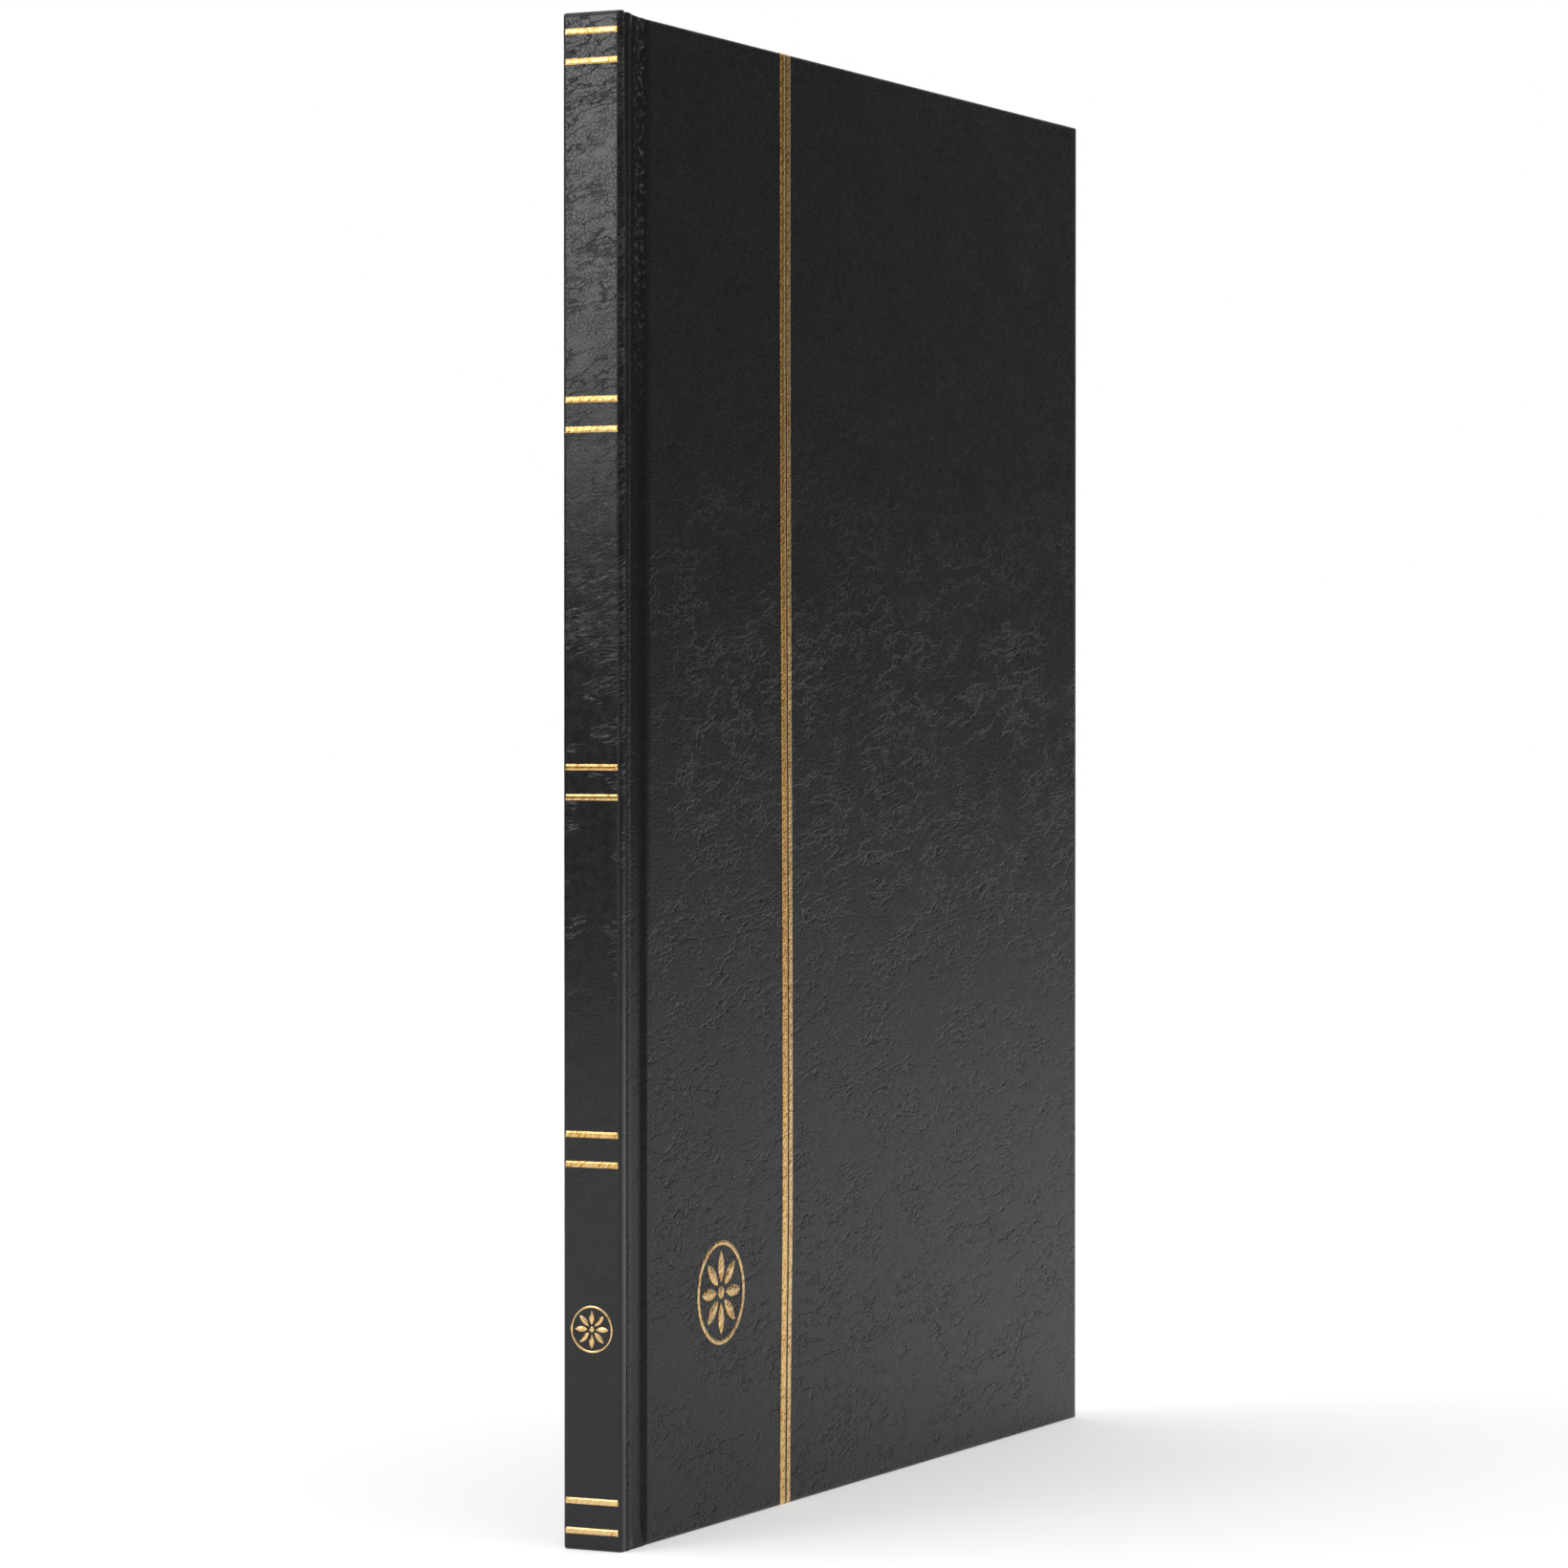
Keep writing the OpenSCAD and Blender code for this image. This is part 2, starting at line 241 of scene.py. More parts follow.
def axisOf(tree, vector, axis):
    return addNode(tree, "SeparateXYZ", None, {"Vector": vector}).outputs[axis]


def colours(tree, factor, stops):
    ramp = addNode(tree, "ValToRGB", None, {"Fac": factor})
    elements = ramp.color_ramp.elements
    while len(elements) < len(stops):
        elements.new(0.5)
    for element, (position, colour) in zip(elements, stops):
        element.position = position
        element.color = (*colour, 1)
    return ramp.outputs[0]


def bumpFrom(tree, height, distance):
    return addNode(tree, "Bump", None, {
        "Height": height, "Distance": distance * mm, "Strength": 1.0}).outputs[0]


def dress(node, material):
    mesh = nodes[node].data
    mesh.materials.clear()
    mesh.materials.append(material)


# Each layer of the grain has its size along and across its lines, their turn, their width and depth, how far
# they wander, how far its pits lose their shine and are painted darker as shade, how patchy it is, and how
# much of it is left at the tail and at the head, with the heights between which that changes.
coverGrain = {
    "dark": (0.0085, 0.0087, 0.0093), "light": (0.015, 0.0153, 0.0163),
    "roughLow": 0.23, "roughHigh": 0.29, "specular": 0.15, "drift": 5.0,
    "grooveRough": 0.9, "grooveShine": 0.9, "grooveGrain": 0.2, "sideRough": 1.0,
    "fine": {"size": (0.85, 0.42), "turn": 0.15, "height": 0.05},
    "cells": {"size": (1.3, 0.75), "turn": 0.1, "line": 0.08, "height": 0.018, "wander": 0.8, "pit": 0.25,
              "patchy": (0.12, 0.42), "tail": 0.9, "head": 0.7, "between": (130, 250)},
    "wrinkles": {"size": (7.0, 1.5), "turn": 0.14, "line": 0.07, "height": 0.07, "wander": 0.8, "pit": 0.08,
                 "patchy": (0.46, 0.7), "tail": 1.0, "head": 0.08, "between": (120, 240)},
    "creases": {"size": (20.0, 4.5), "turn": 0.16, "line": 0.034, "height": 0.16, "wander": 1.6, "pit": 0.25,
                "patchy": (0.4, 0.54), "tail": 0.9, "head": 0.06, "between": (120, 240)},
}
spineGrain = dict(
    coverGrain, dark=(0.0066, 0.0068, 0.0073), light=(0.0115, 0.0118, 0.0125),
    roughLow=0.13, roughHigh=0.19, specular=0.36, drift=2.0,
    grooveRough=1.0, grooveShine=1.0, grooveGrain=1.0, sideRough=1.5,
    fine={"size": (0.6, 0.45), "turn": 0.15, "height": 0.015},
    cells={"size": (0.95, 0.7), "turn": 0.2, "line": 0.07, "height": 0.018, "wander": 1.0, "pit": 0.22,
           "patchy": (0.34, 0.56), "tail": 0.0, "head": 1.0, "between": (190, 260)},
    wrinkles={"size": (5.0, 0.9), "turn": 0.14, "line": 0.05, "height": 0.1, "wander": 0.6, "pit": 0.1,
              "patchy": (0.5, 0.62), "tail": 0.04, "head": 1.0, "between": (105, 145)},
    creases={"size": (9.0, 2.6), "turn": 0.35, "line": 0.026, "height": 0.09, "wander": 1.2, "pit": 0.4,
             "patchy": (0.4, 0.6), "tail": 0.0, "head": 1.0, "between": (150, 230)})

patchSize = {"cells": 6.0, "wrinkles": 13.0, "creases": 30.0}    # size of the patches with and without lines


def layerShare(tree, height, layer):
    return remap(tree, height, *layer["between"], layer["tail"], layer["head"])


def grainLines(tree, where, layer, asCells):
    where = stretch(tree, where, *layer["size"], -layer["turn"])
    if asCells:
        made = addNode(tree, "TexVoronoi", {"feature": "DISTANCE_TO_EDGE"}, {"Vector": where, "Scale": 1.0})
        offLine = made.outputs["Distance"]
    else:
        offLine = combine(tree, "ABSOLUTE", minus(tree, noiseOf(tree, where, 1.0, 2.0, 0.45), 0.5))
    return remap(tree, offLine, 0.0, layer["line"], 1.0, 0.0)


def wanderOf(tree, vector, scale, detail):
    made = addNode(tree, "TexNoise", None, {"Vector": vector, "Scale": scale, "Detail": detail})
    return vectors(tree, "SUBTRACT", made.outputs["Color"], (0.5, 0.5, 0.5))


def leatherGrain(tree, grain):
    flat = skinMap(tree)
    height = axisOf(tree, flat, 1)
    sideways = wanderOf(tree, flat, 0.45, 3.0)
    # a slow drift keeps the grain from running straight
    turned = vectors(tree, "ADD", flat, vectorTimes(tree, wanderOf(tree, flat, 0.045, 1.0), grain["drift"]))
    bent = vectors(tree, "ADD", turned, vectorTimes(tree, sideways, 0.6))
    fineMap = stretch(tree, bent, *grain["fine"]["size"], -grain["fine"]["turn"])
    fine = noiseOf(tree, fineMap, 1.0, 3.0, 0.6, 0.3)
    relief = times(tree, fine, grain["fine"]["height"])
    pits = None
    for name, patch in patchSize.items():
        layer = grain[name]
        where = vectors(tree, "ADD", turned, vectorTimes(tree, sideways, layer["wander"]))
        lines = grainLines(tree, where, layer, asCells=name == "cells")
        lines = times(tree, lines, layerShare(tree, height, layer))
        # the lines come and go over the skin
        patches = scaled(tree, flat, (1 / patch, 1.4 / patch, 1), -layer["turn"])
        patches = noiseOf(tree, patches, 1.0, 2.0, 0.6)
        lines = times(tree, lines, remap(tree, patches, *layer["patchy"]))
        relief = minus(tree, relief, times(tree, lines, layer["height"]))
        dulledAndShaded = times(tree, lines, layer["pit"])
        pits = combine(tree, "MAXIMUM", pits, dulledAndShaded) if pits else dulledAndShaded
    return flat, fine, relief, pits


# the skin in the grooves puckers towards the head: where that starts and ends across, and over which heights
crinkle = {
    "size": (0.8, 1.3), "height": 0.3, "shine": 0.9,
    "from": (6.9, 8.2), "to": (9.6, 11.4), "between": (215, 262),
}
smoothGroove = {"from": (4.4, 5.6), "to": (11.6, 13.6)}    # the grooves are pressed smooth between these


def strip(tree, across, look):
    started = remap(tree, across, skinStart + look["from"][0], skinStart + look["from"][1])
    ended = remap(tree, across, skinStart + look["to"][0], skinStart + look["to"][1], 1.0, 0.0)
    return times(tree, started, ended)


def grooveCrinkle(tree, flat, across):
    bumps = noiseOf(tree, stretch(tree, flat, *crinkle["size"]), 1.0, 2.0, 0.5, 0.6)
    share = remap(tree, axisOf(tree, flat, 1), *crinkle["between"])
    share = times(tree, strip(tree, across, crinkle), share)
    peaks = times(tree, remap(tree, bumps, 0.48, 0.72), crinkle["height"])
    return times(tree, peaks, share)


def leatheretteMaterial(name, grain):
    material, tree, shader = newMaterial(name)
    flat, fine, relief, pits = leatherGrain(tree, grain)
    across = combine(tree, "ABSOLUTE", axisOf(tree, flat, 0))
    inGroove = strip(tree, across, smoothGroove)
    crinkled = grooveCrinkle(tree, flat, across)
    relief = times(tree, relief, remap(tree, inGroove, 0.0, 1.0, 1.0, grain["grooveGrain"]))
    wear = noiseOf(tree, flat, 1 / 2.2, 4.0, 0.6)
    rough = remap(tree, wear, 0.3, 0.7, grain["roughHigh"], grain["roughLow"])
    rough = times(tree, rough, remap(tree, inGroove, 0.0, 1.0, 1.0, grain["grooveRough"]))
    onSide = remap(tree, across, skinStart + 0.2, skinStart + 1.4, 1.0, grain["sideRough"])
    shine = times(tree, remap(tree, pits, 0.0, 1.0, grain["specular"], 0.0),
                  remap(tree, inGroove, 0.0, 1.0, 1.0, grain["grooveShine"]))
    peakShine = remap(tree, crinkled, 0.0, crinkle["height"] * 0.5, 0.0, crinkle["shine"])
    # the base colour is painted darker in the grain's pits, as painted shade in the creases
    tint = minus(tree, remap(tree, fine, 0.35, 0.68), times(tree, pits, 0.5))
    feed(tree, shader, {
        "Base Color": colours(tree, tint, [(0, grain["dark"]), (1, grain["light"])]),
        "Roughness": times(tree, rough, onSide),
        "Specular IOR Level": plus(tree, shine, peakShine),
        "Normal": bumpFrom(tree, plus(tree, relief, crinkled), 1.0)})
    return material


coverSkin = leatheretteMaterial("leatherette_cover", coverGrain)
spineSkin = leatheretteMaterial("leatherette_spine", spineGrain)

caseShape = {
    # the crease along the spine's side
    "creaseAt": 2.5, "creaseDepth": 0.22, "creaseNotch": 0.2, "creaseWidth": 0.6,
    "shoulderEnd": 4.1,          # where the leatherette starts down into the groove
    "grooveStart": 5.8,          # where the groove's floor starts
    "grooveEnd": 9.8,            # where it climbs to the board
    "boardStart": 11.3,
    "grooveFlare": 6.0,          # the groove runs out over this length at the head and tail
    "puckerAt": 7.6, "puckerHeight": 0.2, "puckerBetween": (228, 262),
    "skin": 0.28,                # thickness of the leatherette
    "foldedSkin": 0.62,          # thickness where it is doubled at the ends of the groove
    "edgeRound": 0.62,
    "turnIn": 15.0,
    "mitre": 60.0,               # the turn-ins draw together over this much of the edge
    "relief": 0.014,             # how far the soft ripples of the skin fall below the face
    "fineEnd": 12.8, "fineStep": 0.35, "columnStep": 1.25,
}
skinSeed = {"front": 3.0, "rear": 31.0}


def ripple(d, z, seed):
    wide = softNoise(d / 38, z / 52, seed)
    lean = d * 0.82 + z * 0.57
    along = -d * 0.57 + z * 0.82
    fold = softNoise(lean / 6.5, along / 24, seed + 7)
    cluster = smooth(-0.05, 0.35, softNoise(d / 40, z / 36, seed + 13))
    return wide * 0.5 + fold * (0.2 + 0.8 * cluster) * 0.8


def grooveDepth(d, z):
    s = caseShape
    down = smooth(s["shoulderEnd"], s["grooveStart"], d)
    up = 1 - smooth(s["grooveEnd"], s["boardStart"], d)
    flare = min(smooth(-2.0, s["grooveFlare"], z), smooth(-2.0, s["grooveFlare"], coverHeight - z))
    pucker = math.exp(-((d - s["puckerAt"]) / 0.55) ** 2) * smooth(*s["puckerBetween"], z)
    pucker *= 0.55 + 0.9 * softNoise(d / 1.4, z / 1.9, 5)
    return (outerFace - grooveFloor) * min(down, up) * flare - s["puckerHeight"] * pucker * flare


def creaseDepth(d, z):
    s = caseShape
    fade = 0.25 + 0.75 * (1 - smooth(0, 40, spineHeight - z))
    return s["creaseDepth"] * fade * math.exp(-((d - s["creaseAt"]) / s["creaseWidth"]) ** 2)


def faceDepth(d, z, seed):
    s = caseShape
    calm = 0.1 + 0.9 * smooth(s["boardStart"], s["boardStart"] + 3, d)
    soft = s["relief"] * (0.5 + 0.5 * max(-1.0, min(1.0, ripple(d, z, seed)))) * calm
    return creaseDepth(d, z) + grooveDepth(d, z) + soft


def wallDepth(d):
    s = caseShape
    folded = s["foldedSkin"]
    return folded + (outerFace - pageFace - folded) * smooth(s["grooveEnd"] + 0.6, s["boardStart"], d)


def headLine(d):
    s = caseShape
    notch = s["creaseNotch"] * math.exp(-((d - s["creaseAt"] - 0.1) / s["creaseWidth"]) ** 2)
    return spineHeight - (spineHeight - coverHeight) * smooth(1.0, 9.0, d) - notch


def tailLine(d):
    return 0.35 * math.exp(-((d - 4.9) / 0.5) ** 2)


def edgeSteps(wall):
    # how far out and how far below the face each row of the turned-in edge lies
    r = min(caseShape["edgeRound"], wall / 2)
    turn = [math.radians(a) for a in (30, 60, 90)]
    steps = [(r * math.sin(a), r * (1 - math.cos(a))) for a in turn]
    steps += [(r, r + (wall - 2 * r) * share) for share in (0.33, 0.67, 1.0)]
    steps += [(r * math.sin(a), wall - r + r * math.cos(a)) for a in (turn[1], turn[0], 0.0)]
    steps += [(-caseShape["turnIn"] * share, wall) for share in (0.1, 0.35, 0.7, 1.0)]
    return r, steps


# rows of the skins from tail to head, closer together near both ends
endShares = [0.0, 0.0018, 0.0036, 0.0065]
rowShares = endShares + spread(0.01, 0.99, 0.0041) + [1.0 - share for share in reversed(endShares)]


def facePoint(side, d, z, seed, lift=0.0):
    return place(d, side * (outerFace - faceDepth(d, z, seed) + lift), z)


def buildCoverSkin(name, side, seed):
    s = caseShape
    columns = spread(s["creaseAt"], s["fineEnd"], s["fineStep"])
    columns += spread(s["fineEnd"], caseWidth - s["edgeRound"], s["columnStep"])[1:]
    count, rows = len(columns), len(rowShares)
    points, uvs = [], []
    for share in rowShares:
        for d in columns:
            r = edgeSteps(wallDepth(d))[0]
            low, high = tailLine(d) + r, headLine(d) - r
            z = low + (high - low) * share
            points.append(facePoint(side, d, z, seed))
            uvs.append((-side * (skinStart + d) * mm, z * mm))
    faces = gridFaces(rows, count, flip=side > 0)
    top = (rows - 1) * count
    # the open edge from the tail of the groove, up the fore edge and back along the head, and its way out
    chain = [(i, 0, -1) for i in range(count - 1)] + [(count - 1, 1, -1)]
    chain += [(r * count + count - 1, 1, 0) for r in range(1, rows - 1)]
    chain += [(top + count - 1, 1, 1)] + [(top + i, 0, 1) for i in range(count - 2, -1, -1)]
    previous = [index for index, outD, outZ in chain]
    mitre = s["mitre"]
    reach = mitre - s["edgeRound"]
    for step in range(len(edgeSteps(1.0)[1])):
        current = []
        for index, outD, outZ in chain:
            d = columns[index % count]
            z = points[index].z / mm
            out, below = edgeSteps(wallDepth(d))[1][step]
            newD, newZ = d + max(out, 0.0) * outD, z + max(out, 0.0) * outZ
            drawn = (reach + out) / reach
            if out < 0 and d > caseWidth - mitre:
                newD = caseWidth - mitre + (d - caseWidth + mitre) * drawn
            if out < 0 and z < mitre:
                newZ = mitre - (mitre - z) * drawn
            if out < 0 and z > coverHeight - mitre:
                newZ = coverHeight - mitre + (z - coverHeight + mitre) * drawn
            fade = 1 - smooth(0, 0.5, below)
            depth = faceDepth(d, z, seed) * fade + grooveDepth(newD, newZ) * (1 - fade)
            current.append(len(points))
            points.append(place(newD, side * (outerFace - below - depth), newZ))
            uvs.append((-side * (skinStart + newD + below * outD) * mm, (newZ + below * outZ) * mm))
        faces += bridge(previous, current, flip=side > 0)
        previous = current
    obj = thicken(meshObject(name, points, faces, uvs, coverSkin), s["skin"])
    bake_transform(obj)
    return obj


for name, side in (("front", -1), ("rear", 1)):
    skin = buildCoverSkin(name + "_case_leather", side, skinSeed[name])
    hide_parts(name + "_leather", name + "_joint_leather")
print("covers' leatherette made")


def spineProfile():
    # points round the spine with their outward direction, from the rear crease to the front crease
    crease = caseShape["creaseAt"]
    flat = outerFace - spineCorner
    half = [(0.0, y, -1.0, 0.0) for y in spread(0.0, flat, 0.6)]
    for angle in (15, 30, 45, 60, 75, 90):
        a = math.radians(angle)
        half.append((spineCorner - spineCorner * math.cos(a), flat + spineCorner * math.sin(a),
                     -math.cos(a), math.sin(a)))
    half += [(d, outerFace, 0.0, 1.0) for d in spread(spineCorner, crease, 0.28)[1:]]
    mirrored = [(d, -y, nd, -ny) for d, y, nd, ny in half]
    return half[::-1] + mirrored[1:]


spineRelief = {"depth": 0.05, "cell": 2.6, "fold": 5.5}


def spineDepth(along, z):
    fold = softNoise(along / spineRelief["fold"], z / 3.4, 60)
    cell = softNoise(along / spineRelief["cell"], z / 2.2, 71)
    broad = softNoise(along / 9, z / 40, 82)
    value = 0.5 * fold + 0.35 * cell + 0.5 * broad
    return spineRelief["depth"] * (0.5 + 0.5 * max(-1.0, min(1.0, value)))


def alongSpine(profile):
    lengths, total = [0.0], 0.0
    for a, b in zip(profile, profile[1:]):
        total += math.hypot(b[0] - a[0], b[1] - a[1])
        lengths.append(total)
    return [v - total / 2 for v in lengths]


profile = spineProfile()
along = alongSpine(profile)


def spinePoint(i, z, lift=0.0):
    d, y, nd, ny = profile[i]
    sink = creaseDepth(d, z) + spineDepth(along[i], z) * (1 - smooth(0.5, 1.4, d) * 0.85)
    return place(d + nd * (lift - sink), y + ny * (lift - sink), z)


# the rounded rim at the head and tail of the spine: how far out as a share of the edge's radius, and how far
# through to the inner face; then how far down inside
spineTurnIn = {
    "faceD": 2.9, "faceY": 5.88,
    "round": [(0.5, 0.04), (0.87, 0.12), (1, 0.25), (1, 0.5), (1, 0.75), (0.87, 0.88), (0.5, 0.96)],
    "down": [(0.0, 1.0), (-4.0, 1.0), (-14.4, 1.0)],
}


def buildSpineSkin():
    s = caseShape
    count, rows = len(profile), len(rowShares)
    r = s["edgeRound"]
    points, uvs = [], []
    for share in rowShares:
        for i, (d, y, nd, ny) in enumerate(profile):
            low, high = tailLine(d) + r, headLine(d) - r
            z = low + (high - low) * share
            points.append(spinePoint(i, z))
            uvs.append((along[i] * mm, z * mm))
    faces = gridFaces(rows, count)
    flat = outerFace - spineCorner
    inside = spineTurnIn
    for end, up in ((0, -1), ((rows - 1) * count, 1)):
        previous = list(range(end, end + count))
        for out, share in [(r * size, share) for size, share in inside["round"]] + inside["down"]:
            current = []
            for i in range(count):
                base = points[end + i]
                baseD, baseY = (base.x - spineFace) / mm, base.y / mm
                sideways = abs(along[i]) / flat
                beyond = max(0.0, sideways - 1.0) / (along[-1] / flat - 1.0)
                toD = inside["faceD"] - 0.5 * beyond
                toY = min(sideways, 1.0) * (inside["faceY"] - 0.12) + 0.12 * beyond
                toY = -math.copysign(toY, along[i])
                current.append(len(points))
                z = base.z / mm + up * out
                points.append(place(baseD + (toD - baseD) * share, baseY + (toY - baseY) * share, z))
                uvs.append((along[i] * mm, (z + up * share * 2.9) * mm))
            faces += bridge(previous, current, flip=up > 0)
            previous = current
    obj = thicken(meshObject("spine_case_leather", points, faces, uvs, spineSkin), s["skin"])
    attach(obj, "binding")
    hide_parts("spine_leather")
    return obj


buildSpineSkin()
print("spine's leatherette made")

# painted shade: the foil is painted a deeper orange higher up, where less light falls on it; a pair of shares
# says how much more of the deep orange shows at the lower and upper end of a pair of heights
spineFoilLook = {
    "gold": (0.66, 0.41, 0.14), "pale": (0.76, 0.53, 0.27), "deep": (0.4, 0.2, 0.05),
    "roughLow": 0.13, "roughHigh": 0.2, "grain": 0.25, "fleck": 0.01, "spots": (0.24, 0.6),
    "paintedShadeUp": (0.0, 0.38), "paintedShadeBetween": (52.0, 72.0),
}
wideFoilLook = dict(spineFoilLook, deep=(0.62, 0.27, 0.045), gold=(0.9, 0.5, 0.11), pale=(0.95, 0.66, 0.26),
                    roughLow=0.2, roughHigh=0.32, grain=0.7, fleck=0.16, spots=(0.4, 0.53),
                    paintedShadeUp=(0.0, 0.5), paintedShadeBetween=(50.0, 130.0))
thinFoilLook = dict(wideFoilLook, deep=(0.5, 0.25, 0.07), pale=(0.92, 0.66, 0.32), paintedShadeUp=(0.0, 0.2))
foilLift = 0.035
foilThick = 0.06


def foilMaterial(name, grain, look):
    material, tree, shader = newMaterial(name)
    flat, fine, relief, pits = leatherGrain(tree, grain)
    flecks = noiseOf(tree, stretch(tree, flat, 0.5, 1.6, 0.7), 1.0, 3.0, 0.6, 0.4)
    relief = plus(tree, times(tree, relief, look["grain"]), times(tree, flecks, look["fleck"]))
    # painted shade: higher up, the foil's colour is pushed towards the deep orange
    paintedShadeUp = remap(tree, axisOf(tree, flat, 1), *look["paintedShadeBetween"], *look["paintedShadeUp"])
    tone = remap(tree, flecks, *look["spots"])
    # painted shade: the foil's colour is also painted darker in the grain's pits
    tone = minus(tree, tone, times(tree, pits, 0.6))
    tone = minus(tree, tone, paintedShadeUp)
    feed(tree, shader, {
        "Base Color": colours(tree, tone, [(0.0, look["deep"]), (0.35, look["gold"]), (1.0, look["pale"])]),
        "Roughness": remap(tree, fine, 0.3, 0.7, look["roughLow"], look["roughHigh"]),
        "Normal": bumpFrom(tree, relief, 1.0)})
    shader.inputs["Metallic"].default_value = 1.0
    return material


spineFoil = foilMaterial("gold_foil_spine", spineGrain, spineFoilLook)
wideFoil = foilMaterial("gold_foil_wide_rule", coverGrain, wideFoilLook)
thinFoil = foilMaterial("gold_foil_thin_rule", coverGrain, thinFoilLook)

# the rules bow a little towards the fore edge, most of all a quarter of the way up
ruleShape = {"wide": 2.35, "gap": 0.75, "wrap": 1.6,
             "bow": 1.2, "bowRise": (0.0, 72.0), "bowFall": (84.0, 258.0), "offset": 0.22}
ruleEdges = edgesOf("front_foil_rules")


def ruleShift(z):
    bow = smooth(*ruleShape["bowRise"], z) * (1 - smooth(*ruleShape["bowFall"], z))
    return ruleShape["offset"] + ruleShape["bow"] * bow


def foilStrip(name, fromD, width, material, seed):
    lift, r = foilLift, caseShape["edgeRound"]
    path = [("tail", a) for a in (1.0, 0.5, 0.0)] + [("tailCorner", a) for a in (90, 60, 30)]
    path += [("face", z) for z in spread(r, coverHeight - r, 1.0)]
    path += [("headCorner", a) for a in (30, 60, 90)] + [("head", a) for a in (0.0, 0.5, 1.0)]
    points, uvs = [], []
    for part, value in path:
        for i in range(5):
            z = value if part == "face" else (r if part.startswith("tail") else coverHeight - r)
            rough = 0.05 * softNoise(z / 1.6, i * 4.0, seed) if i in (0, 4) else 0.0
            d = fromD + width * i / 4 + ruleShift(z) + rough
            depth = faceDepth(d, z, skinSeed["front"])
            sign = -1 if part.startswith("tail") else 1
            if part == "face":
                y, newZ = outerFace - depth + lift, z
            elif part.endswith("Corner"):
                a = math.radians(value)
                y = outerFace - depth - r * (1 - math.cos(a)) + lift * math.cos(a)
                newZ = z + sign * (r + lift) * math.sin(a)
            else:
                y = outerFace - r - ruleShape["wrap"] * value - depth
                newZ = z + sign * (r + lift)
            points.append(place(d, -y, newZ))
            uvs.append(((skinStart + d) * mm, newZ * mm))
    obj = thicken(meshObject(name, points, gridFaces(len(path), 5), uvs, material), foilThick)
    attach(obj, "front_cover")
    return obj


thinStart = ruleEdges["dLow"] + ruleShape["wide"] + ruleShape["gap"]
wideRule = foilStrip("front_rule_wide", ruleEdges["dLow"], ruleShape["wide"], wideFoil, 5)
thinRule = foilStrip("front_rule_thin", thinStart, ruleEdges["dHigh"] - thinStart, thinFoil, 9)
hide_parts("front_foil_rules")
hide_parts("front_foil_rules")

bandShape = {"end": 6.8, "pitch": 5.95, "height": 1.25, "pairs": 5, "stop": 0.5}


def buildSpineBands():
    b = bandShape
    pairPitch = (spineHeight - 2 * b["end"]) / (b["pairs"] - 1)
    kept = [i for i, (d, y, nd, ny) in enumerate(profile) if abs(y) <= outerFace - b["stop"] and d < 1.0]
    points, faces, uvs = [], [], []
    for pair in range(b["pairs"]):
        for side in (-1, 1):
            middle = b["end"] + pair * pairPitch + side * b["pitch"] / 2
            start = len(points)
            for row in range(4):
                for i in kept:
                    rough = 0.06 * softNoise(along[i] / 0.9, middle, row * 3.0)
                    z = middle + b["height"] * (row / 3 - 0.5) + (rough if row in (0, 3) else 0)
                    points.append(spinePoint(i, z, foilLift))
                    uvs.append((along[i] * mm, z * mm))
            faces += shifted(gridFaces(4, len(kept)), start)
    obj = thicken(meshObject("spine_bands", points, faces, uvs, spineFoil), foilThick)
    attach(obj, "binding")
    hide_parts("spine_foil_bands")
    return obj


buildSpineBands()

rosetteShape = {
    "petals": 8, "petalNear": 0.1, "petalFar": 0.4, "petalRound": 0.22, "petalSteps": 10,
    "ringWidth": 0.045, "ringSteps": 96, "dot": 0.06, "dotSteps": 16,
}


def circlePoints(radius, count):
    turns = [2 * math.pi * i / count for i in range(count)]
    return [(radius * math.cos(a), radius * math.sin(a)) for a in turns]


def rosetteOutline():
    # a ring, a dot and the petals, each as points and faces, in a circle of diameter 1
    r = rosetteShape
    count = r["ringSteps"]
    ring = [(i, (i + 1) % count, count + (i + 1) % count, count + i) for i in range(count)]
    patches = [(circlePoints(0.5, count) + circlePoints(0.5 - r["ringWidth"], count), ring)]
    count = r["dotSteps"]
    fan = [(i, (i + 1) % count, count) for i in range(count)]
    patches.append((circlePoints(r["dot"], count) + [(0, 0)], fan))
    half = (r["petalFar"] - r["petalNear"]) / 2
    shift = math.sqrt(r["petalRound"] ** 2 - half ** 2)
    steps = r["petalSteps"]
    for p in range(r["petals"]):
        turn = 2 * math.pi * p / r["petals"]
        points, faces = [], []
        for i in range(steps + 1):
            v = half * math.cos(math.pi * i / steps)
            w = math.sqrt(max(0.0, r["petalRound"] ** 2 - v * v)) - shift
            middle = r["petalNear"] + half
            for share in (-1, 0, 1):
                if i in (0, steps) and share:
                    continue
                x, y = w * share, middle + v
                points.append((x * math.cos(turn) - y * math.sin(turn),
                               x * math.sin(turn) + y * math.cos(turn)))
        faces += [(0, 1, 2), (0, 2, 3)]
        for a in range(1, 3 * (steps - 2), 3):
            faces += [(a, a + 3, a + 4, a + 1), (a + 1, a + 4, a + 5, a + 2)]
        a = 3 * (steps - 2) + 1
        faces += [(a, a + 3, a + 1), (a + 1, a + 3, a + 2)]
        patches.append((points, faces))
    return patches


def onCover(d, z):
    return facePoint(-1, d, z, skinSeed["front"], foilLift), ((skinStart + d) * mm, z * mm)


def onSpine(across, z):
    return place(spineDepth(across, z) - foilLift, -across, z), (across * mm, z * mm)


